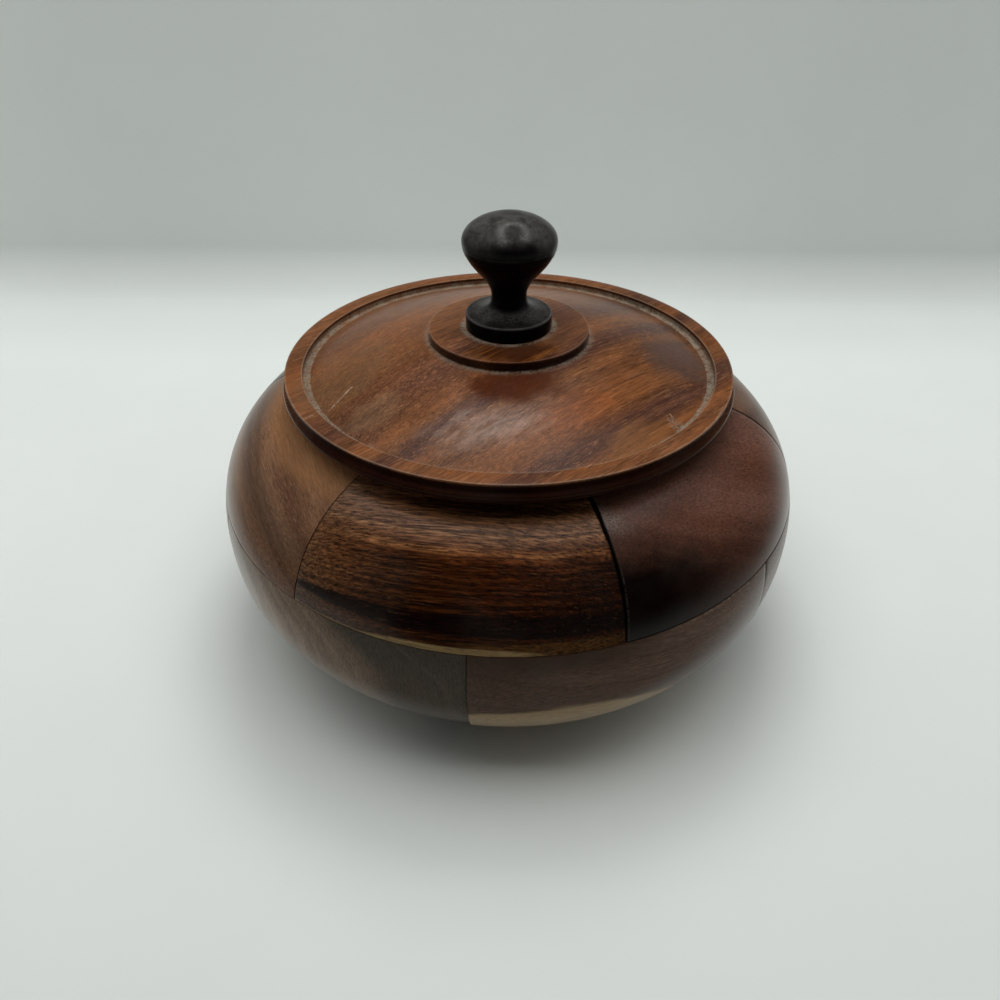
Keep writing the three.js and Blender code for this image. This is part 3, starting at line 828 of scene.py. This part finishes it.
def lidFinish():
    k = lid
    f = Finish("lidWood")
    grain = f.place(lidLook["lie"])
    seed = lidLook["seed"]
    sway = f.noise(grain, (0.010, 0.020, 0.020), seed) - 0.5
    ripple = f.noise(grain, (0.03, 0.09, 0.09), seed, detail=3) - 0.5
    across = f.split(grain)[1] * -1 + sway * 16 + ripple * 6
    half = lidStreaks[-1][0]
    stops = [((u + half) / (2 * half), lidTones[tone]) for u, tone in lidStreaks]
    colour = f.ramp((across + half) / (2 * half), stops)
    streak = f.noise(grain, (0.010, 0.30, 0.30), seed, detail=3, roughness=0.6)
    colour = f.vary(colour, streak, 1.3)
    colour, fibre, dashes, pores = drawFibres(f, colour, grain, lidLook)
    colour = drawHairs(f, colour, grain, (0.03, 1.3, 1.3), 0.5, (0.36, 0.17, 0.08))

    # darker at the back right
    flat = f.place()
    px, py, height = f.split(flat)
    plan = f.stretch(flat, (1, 1, 0))
    radius = f.vectors("LENGTH", {0: plan}, "Value")
    colour = f.shade(colour, f.rise(px, 5, 60) * f.rise(py, -30, 0), 1.04, 0.80)
    for patch in lidPatches:
        spot = f.blot(plan, patch["at"], patch["size"], patch["angle"])
        if "streaky" in patch:
            spot = spot * streak
        if "bright" in patch:
            colour = f.shade(colour, spot, 1, patch["bright"])
        elif "tint" in patch:
            colour = f.mix(spot * patch["share"], colour, patch["tint"], "MULTIPLY")
        else:
            colour = f.mix(spot * patch["share"], colour, f.vary(patch["tone"], fibre, patch["uneven"]))

    # painted reflection and shade of the knob in front of the boss, dull on its right, and painted shadow and
    # reflection of the knob with painted glints on its front
    # painted reflection of the dark knob, with painted shade
    paintedKnobReflection = f.blot(plan, (2, -34), (20, 12), 14)
    colour = f.mix(paintedKnobReflection * 0.85, colour, f.vary((0.056, 0.011, 0.002), fibre, 1.2))
    onBoss = f.fall(radius, k["bossRadius"] - 0.5, k["bossRadius"] + 0.5)
    dull = f.blot(plan, (19, 1), (12, 17), 0) * onBoss
    colour = f.mix(dull * 0.5, colour, f.vary((0.080, 0.036, 0.022), fibre, 1.0))
    # painted shadow and reflection of the knob, with painted glints
    shaded = f.blot(plan, (2, -20), (20, 8.5), 0) * onBoss
    paintedGlint = f.rise(streak, 0.5, 0.62) * dashes
    colour = f.mix(shaded * 0.85, colour, f.mix(paintedGlint * 0.85, (0.036, 0.008, 0.001), (0.24, 0.076, 0.004)))

    # painted shade in the cove and on the bead, less at the back, on the boss's step and on the groove's outer wall
    cove = (
        f.rise(radius, k["coveRadius"] - 2.3, k["coveRadius"] - 0.8) * f.fall(height, k["rim"] - 1.5, k["rim"] - 0.8)
        * f.rise(height, k["seat"] - 0.8, k["seat"] + 0.2) * (1 - f.rise(py, -62, -15) * 0.45)
    )
    colour = f.mix(cove * 0.95, colour, f.vary((0.012, 0.002, 0.001), fibre, 1.0))
    # painted shade on the boss's step
    step = f.band(radius, k["bossRadius"] - 0.4, k["bossRadius"] + 0.3, 0.15)
    step = step * f.fall(height, k["bossTop"] - 0.9, k["bossTop"] - 0.1)
    colour = f.shade(colour, step, 1, 0.3)
    # painted shade on the groove's outer wall
    paintedGrooveShade = f.band(radius, k["grooveOuter"] - 0.25, k["grooveOuter"] + 0.5, 0.12)
    paintedGrooveShade = paintedGrooveShade * f.band(height, k["rim"] - 1.2, k["rim"] - 0.3, 0.2)
    colour = f.shade(colour, paintedGrooveShade, 1, 0.4)

    # painted highlights along the arrises and on the bead
    cloud = f.noise(flat, 0.25, detail=3, roughness=0.6)
    grit = f.noise(flat, 1.2, roughness=0.6)
    paleLine = f.band(height, k["bead"] - 0.2, k["bead"] + 0.2, 0.2)
    paleLine = paleLine * f.rise(radius, k["radius"] - 0.3, k["radius"] - 0.1) * 0.05
    for r, z, (inner, outer, soft), (low, high), strength in lidArrisHighlights:
        paleLine = paleLine + f.band(radius, r + inner, r + outer, soft) * f.rise(height, z + low, z + high) * strength
    colour = f.mix(paleLine * f.rise(cloud, 0.1, 0.5), colour, (0.42, 0.31, 0.22))

    # dust on the dome's edge, in the groove, round the knob and the boss, and on a scuffed spot
    onDome = f.fall(radius, k["grooveInner"], k["grooveInner"] + 0.4)
    onDome = onDome * f.rise(radius, k["grooveInner"] - 2.4, k["grooveInner"] + 0.6) * f.rise(cloud, 0.4, 0.9) * 0.4
    inGroove = f.band(radius, k["grooveInner"], k["grooveOuter"] + 0.3, 0.25)
    inGroove = inGroove * f.fall(height, k["grooveFloor"] + 0.5, k["grooveFloor"] + 1.8)
    aroundKnob = f.rise(radius, k["knobFoot"] - 0.3, k["knobFoot"] + 0.1)
    aroundKnob = aroundKnob * f.fall(radius, k["knobFoot"] + 0.6, k["knobFoot"] + 2.9)
    aroundKnob = aroundKnob * f.rise(height, k["bossTop"] - 1.0, k["bossTop"] - 0.3)
    aroundBoss = f.rise(radius, k["bossRadius"] - 0.1, k["bossRadius"] + 0.2)
    aroundBoss = aroundBoss * f.fall(radius, k["bossRadius"] + 0.3, k["bossRadius"] + 2.8) * 0.55
    aroundBoss = aroundBoss * f.fall(height, k["bossFoot"], k["bossFoot"] + 0.5)
    scuffed = f.blot(plan, (55.0, -44.5), (4.5, 3.0), -50) * f.rise(grit, 0.4, 0.6) * 0.6
    onTop = f.rise(height, k["beadTop"] - 0.1, k["beadTop"] + 0.5)
    dust = (inGroove * 0.85 + onDome + aroundKnob * 0.8 + aroundBoss + scuffed) * onTop
    dust = (dust * f.rise(grit * 0.6 + cloud * 0.4, 0.34, 0.60)).math("MINIMUM", 0.85)
    colour = f.mix(dust, colour, f.mix(cloud, (0.16, 0.128, 0.088), (0.31, 0.27, 0.21)))

    # scratches, and a thin film
    scratches = sum(f.scratch(plan, *line, width) * strength for *line, width, strength in lidScratches)
    scratches = scratches * onTop * f.rise(height, k["grooveFloor"] + 0.1, k["rim"] - 0.7)
    colour = f.mix(scratches * f.rise(grit, 0.35, 0.6), colour, (0.46, 0.34, 0.24))
    film = f.noise(flat, 0.04, detail=3, roughness=0.6)
    colour = f.mix(f.rise(film, 0.3, 0.8) * 0.03, colour, (0.36, 0.33, 0.28))

    # more wax in one patch at the front, with painted sheen in its colour, none on the painted knob reflection, less
    # at the back and right
    bright = f.blot(plan, (-8, -54), (24, 9), 12) * (f.rise(streak, 0.38, 0.6) * 0.75 + 0.25)
    # painted sheen
    colour = f.mix(bright * f.rise(streak, 0.3, 0.7) * 0.22, colour, f.vary((0.36, 0.25, 0.18), fibre, 1.2))
    sheen = (0.17 + bright * 0.24) * (1 - paintedKnobReflection * 0.95)
    sheen = sheen * (1 - f.rise(py, -5, 50) * 0.6) * (1 - f.rise(px, 5, 50) * 0.35)
    coat = f.wax(0.8, (1 - cove) * (1 - step) * (1 - shaded) * sheen)
    rough = 0.30 + (fibre - 0.5) * 0.25 + pores * 0.2 + dust * 0.4
    relief = f.noise(grain, (0.04, 0.8, 0.8), seed, detail=1) * 0.6 + dust * 0.5
    return f.done(colour, rough, relief, 0.12, **coat)


bm = spin(lidSection(), steps=240)
soften(bm, lid["rimEdge"], 6, sharper=30, chosen=isRim)
soften(bm, lid["edge"], 4, sharper=30, chosen=lambda e: not isRim(e))
finishPiece("lid_disc", bm, lidFinish(), "lid", "lid")
print("lid done")


# knob

knob = {
    "base": 114.8, "footRadius": lid["knobFoot"], "footTop": 120.0, "neckRadius": 6.2, "neck": 126.4,
    "arris": 141.0, "arrisRadius": 15.5, "head": 145.2, "headRadius": 16.2, "top": 154.0,
    "tenonRadius": 6, "tenonEnd": 105.8, "edge": 0.35, "dimple": 0.35, "dimpleRadius": 4.2,
}


def knobSection():
    k = knob
    rise = k["neck"] - k["footTop"]
    cone = k["arris"] - k["neck"]
    flare = k["arrisRadius"] - k["neckRadius"]
    dome = []
    steps = 26
    for i in range(steps + 1):
        a = i / steps * pi / 2
        r = k["headRadius"] * cos(a)
        dip = k["dimple"] * max(0, 1 - (r / k["dimpleRadius"]) ** 2)
        dome.append((r, k["head"] + (k["top"] - k["head"]) * sin(a) - dip))
    dome[-1] = (0, dome[-1][1])
    return [
        (0, k["tenonEnd"]),
        (k["tenonRadius"], k["tenonEnd"]),
        (k["tenonRadius"], k["base"]),
        (k["footRadius"], k["base"]),
        (k["footRadius"], k["footTop"]),
        *curve(
            (k["footRadius"] - 0.8, k["footTop"]), (k["neckRadius"] * 1.1, k["footTop"] + rise * 0.15),
            (k["neckRadius"], k["neck"] - rise * 0.55), (k["neckRadius"], k["neck"]), 18,
        ),
        *curve(
            (k["neckRadius"], k["neck"]), (k["neckRadius"], k["neck"] + cone * 0.38),
            (k["neckRadius"] + flare * 0.7, k["arris"] - cone * 0.4), (k["arrisRadius"] - 0.4, k["arris"]), 22,
        )[1:],
        (k["arrisRadius"], k["arris"] + 0.2),
        *bend(
            (k["arrisRadius"], k["arris"] + 0.5), (k["headRadius"], (k["arris"] + k["head"]) / 2),
            (k["headRadius"], k["head"]), 8,
        ),
        *dome[1:],
    ]


def ebonyFinish():
    k = knob
    f = Finish("ebony")
    grain = f.place((0, 0, 20))
    fibre = f.noise(grain, (1.4, 1.4, 0.06), (2.2, 8.1, 5.3), detail=4, roughness=0.65)
    colour = f.ramp(fibre, [
        (0.3, (0.001, 0.001, 0.001)), (0.55, (0.003, 0.0022, 0.002)), (0.75, (0.012, 0.005, 0.003)),
    ])
    flat = f.place()
    height = f.split(flat)[2]
    plan = f.stretch(flat, (1, 1, 0))
    radius = f.vectors("LENGTH", {0: plan}, "Value")
    cloud = f.noise(flat, 0.22, (3, 1, 0), detail=4, roughness=0.62)
    grit = f.noise(flat, 1.6, roughness=0.6)
    under = f.band(height, k["arris"] - 9, k["arris"], 2) * f.rise(cloud, 0.4, 0.6) * 0.6
    colour = f.mix(under, colour, (0.012, 0.002, 0.001))

    # dust and wear on top, with a ring of dust and painted highlight round a hollow and a spot rubbed bare at the
    # front
    veins = f.noise(flat, (0.30, 0.26, 0.3), (7, 2, 1), detail=4, roughness=0.68, distortion=0.8)
    veined = f.rise(veins, 0.35, 0.75)
    bare = f.blot(plan, (4, -15.4), (9, 2.4), 6)
    offset = f.vectors("DISTANCE", {0: plan, 1: (1.2, -11.3, 0)}, "Value")
    onTop = f.rise(height, k["top"] - 11, k["top"] - 2) * (f.rise(cloud, 0.35, 0.65) * 0.2 + veined * 0.2 + 0.11)
    onTop = onTop * (f.rise(offset, 0.5, 4.5) * 0.6 + 0.4) * (1 - bare * 0.85)
    # dust and painted highlight in a ring round the hollow
    ring = f.band(offset + (cloud - 0.5) * 5, 3.2, 5.2, 1.3) * f.rise(height, k["top"] - 7.5, k["top"] - 5)
    ring = ring * (grit * 0.6 + 0.1) * (1 - bare * 0.7)
    line = f.band(height, 143.3, 143.8, 0.2) * f.rise(cloud, 0.3, 0.6) * 0.10

    # and on the foot: its top, the collar round the neck and the rim
    onFoot = f.rise(height, k["footTop"] - 0.7, k["footTop"]) * f.fall(height, k["footTop"] + 1.5, k["footTop"] + 4)
    onFoot = onFoot * (veined * 0.25 + 0.12) * (1 - f.blot(plan, (0, -11.5), (10, 3.5), 0) * 0.9)
    collar = f.band(height, k["footTop"] + 0.4, k["footTop"] + 2.3, 0.6) * f.rise(grit, 0.3, 0.6) * 0.3
    rim = f.band(radius, k["footRadius"] - 0.6, k["footRadius"] + 0.1, 0.2)
    rim = rim * f.band(height, k["footTop"] - 0.6, k["footTop"] + 0.2, 0.2) * 0.3
    dust = (onTop + ring + line + onFoot + collar + rim) * (grit * 0.5 + 0.75)
    colour = f.mix(dust.math("MINIMUM", 0.9), colour, (0.150, 0.142, 0.132))
    rough = 0.30 + cloud * 0.16 + dust * 0.25
    coat = f.wax(0.6, f.band(height, k["top"] - 11, k["top"] - 3, 3) * 0.14 + 0.03)
    return f.done(colour, rough, fibre * 0.6 + dust * 0.6, 0.10, **coat)


bm = spin(knobSection(), steps=120)
soften(bm, knob["edge"])
finishPiece("knob_turned", bm, ebonyFinish(), "lid", "knob")
print("knob done")


# floor, light and camera

studio = {
    "front": -1.6, "back": 0.285, "cove": 0.03, "wallTop": 0.24, "halfWidth": 2.2,
    "near": (0.60, 0.63, 0.60), "floor": (0.70, 0.735, 0.707), "far": (0.63, 0.663, 0.638),
    "wall": (0.81, 0.85, 0.82), "wallSide": 0.9,
    "nearFade": (-380, -60), "farFade": (-60, 200), "wallFade": (230, 354), "sideFade": (60, 300),
    "room": (0.9, 0.95, 0.92), "haze": (0.46, 0.49, 0.47),
}
lamps = [
    ("overhead", (-0.02, 0.08, 1.1), (-0.02, 0.06, 0), (1.5, 0.85), 10.2),
    ("behind", (0.04, 0.50, 0.98), (0, 0, 0.08), (0.5, 0.34), 3.4),
    ("side", (-0.85, 0.12, 0.42), (0, 0.1, 0.05), (0.6, 0.7), 2.1),
    ("side", (0.85, 0.12, 0.42), (0, 0.1, 0.05), (0.6, 0.7), 1.7),
]


def paperFinish():
    s = studio
    f = Finish("palePaper")
    grainy = f.noise(f.place(), 0.02)
    x, y, z = f.split(f.place())
    # painted shadow on the floor, darker towards the camera
    colour = f.mix(f.rise(y, *s["nearFade"]), s["near"], s["floor"])
    colour = f.mix(f.rise(y, *s["farFade"]), colour, s["far"])
    wall = f.shade(s["wall"], f.rise(abs(x), *s["sideFade"]), 1, s["wallSide"])
    colour = f.mix(f.rise(y + z * 0.5, *s["wallFade"]), colour, wall)
    return f.done(f.shade(colour, grainy, 0.98, 1.02), 0.9, grainy, 0.0)


def makeSweep():
    # pale floor that curves up into the wall behind
    s = studio
    bm = bmesh.new()
    ends = [bm.verts.new((x, s["front"], 0)) for x in (-s["halfWidth"], s["halfWidth"])]
    grown = bmesh.ops.extrude_edge_only(bm, edges=[bm.edges.new(ends)])["geom"]
    moved = only(grown, bmesh.types.BMVert)
    bmesh.ops.translate(bm, verts=moved, vec=(0, s["back"] - s["front"], 0))
    last = [e for e in only(grown, bmesh.types.BMEdge) if all(v in moved for v in e.verts)]
    spun = bmesh.ops.spin(
        bm, geom=last + moved, cent=(0, s["back"], s["cove"]), axis=(1, 0, 0),
        angle=radians(90), steps=24, use_merge=False,
    )["geom_last"]
    grown = bmesh.ops.extrude_edge_only(bm, edges=only(spun, bmesh.types.BMEdge))["geom"]
    for v in only(grown, bmesh.types.BMVert):
        v.co.z = s["wallTop"]
    bmesh.ops.remove_doubles(bm, verts=bm.verts[:], dist=1e-6)
    sweep = makeObject("sweep", bm, paperFinish())


def softLight(name, place, target, size, power):
    light = bpy.data.lights.new(name, "AREA")
    light.shape = "RECTANGLE"
    light.size, light.size_y = size
    light.energy = power
    lamp = bpy.data.objects.new(name, light)
    lamp.location = place
    lamp.rotation_euler = (Vector(target) - Vector(place)).to_track_quat("-Z", "Y").to_euler()
    bpy.context.scene.collection.objects.link(lamp)


makeSweep()
for lamp in lamps:
    softLight(*lamp)

# dim all round, but the camera sees a pale haze
world = bpy.data.worlds.new("room")
world.use_nodes = True
nodes, links = world.node_tree.nodes, world.node_tree.links
dim = nodes["Background"]
dim.inputs["Color"].default_value = (*studio["room"], 1)
dim.inputs["Strength"].default_value = 0.03
pale = nodes.new("ShaderNodeBackground")
pale.inputs["Color"].default_value = (*studio["haze"], 1)
seen = nodes.new("ShaderNodeMixShader")
links.new(nodes.new("ShaderNodeLightPath").outputs["Is Camera Ray"], seen.inputs[0])
links.new(dim.outputs[0], seen.inputs[1])
links.new(pale.outputs[0], seen.inputs[2])
links.new(seen.outputs[0], nodes["World Output"].inputs["Surface"])
bpy.context.scene.world = world

# fitted to the photo; the focal length is in pixels of a picture 1000 wide
view = {
    "focal": 788.2, "width": 1000, "place": (0, -0.26224, 0.23659),
    "forward": (-0.00885, 0.79370, -0.60825), "right": (0.99991, 0.01311, 0.00256),
}
camera = bpy.data.cameras.new("camera")
camera.sensor_width = 36
camera.lens = view["focal"] / view["width"] * camera.sensor_width
camera.clip_start = 0.01
eye = bpy.data.objects.new("camera", camera)
bpy.context.scene.collection.objects.link(eye)
forward = Vector(view["forward"]).normalized()
right = Vector(view["right"])
right = (right - forward * right.dot(forward)).normalized()
axes = Matrix((right, right.cross(forward), -forward)).transposed()
eye.matrix_world = Matrix.Translation(view["place"]) @ axes.to_4x4()
bpy.context.scene.camera = eye
bpy.context.scene.view_settings.view_transform = "Standard"
print("light and camera done")
